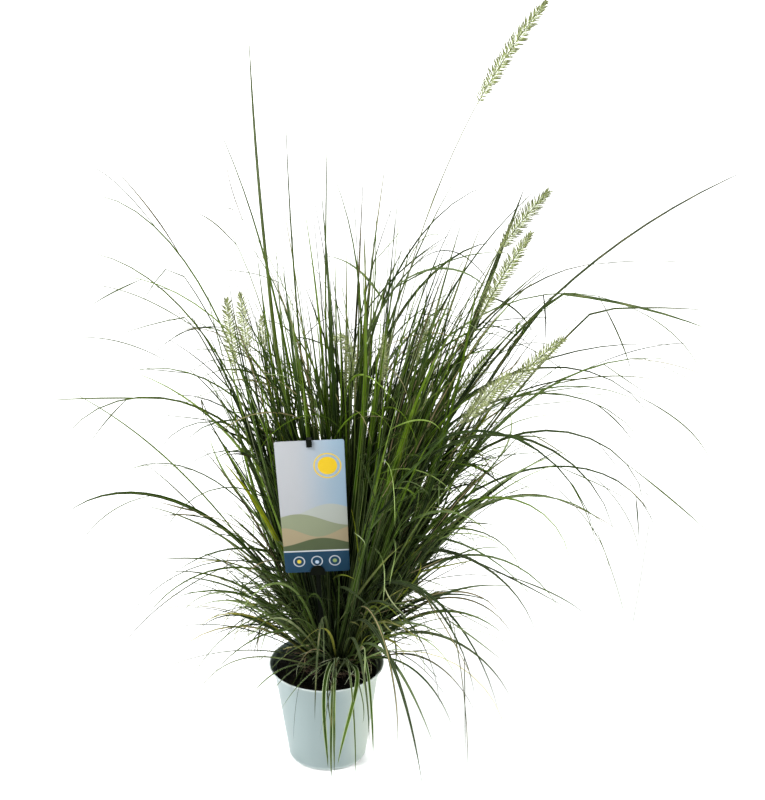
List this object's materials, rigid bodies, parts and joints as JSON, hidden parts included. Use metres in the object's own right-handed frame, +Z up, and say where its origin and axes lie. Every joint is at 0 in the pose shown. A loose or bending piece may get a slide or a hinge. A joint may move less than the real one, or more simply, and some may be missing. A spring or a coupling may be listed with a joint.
{
  "type": "potted fountain grass",
  "caption": "Ornamental grass in a flared nursery pot: a dense clump of fine arching leaves with bottlebrush flower heads on slim stems, and a care card on a stake.",
  "frame": {"origin": "middle of the pot's underside", "axes": "+Z up, -Y the side that the care card faces, +X to the right of someone who looks at the card"},
  "size_m": [0.7419, 0.6028, 0.8438],
  "materials": {
    "pot": "smooth moulded polypropylene, pale bluish white",
    "soil": "damp dark peat with fine roots",
    "leaf": "satin grass blade, ribbed lengthwise",
    "head": "dry cream-green bristles",
    "card": "printed card, pale blue and lilac",
    "stake": "near-black moulded plastic"
  },
  "bodies": {
    "root": {"pot": "pot", "root_ball": "soil", "grass_clump": "leaf", "flower_head_01": "head", "flower_head_02": "head", "flower_head_03": "head", "flower_head_04": "head", "flower_head_05": "head", "flower_head_06": "head", "flower_head_07": "head", "flower_head_08": "head", "flower_head_09": "head", "flower_head_10": "head", "flower_head_11": "head", "flower_head_12": "head", "flower_head_13": "head", "care_card": "card", "card_stake": "stake"}
  },
  "joints": []
}
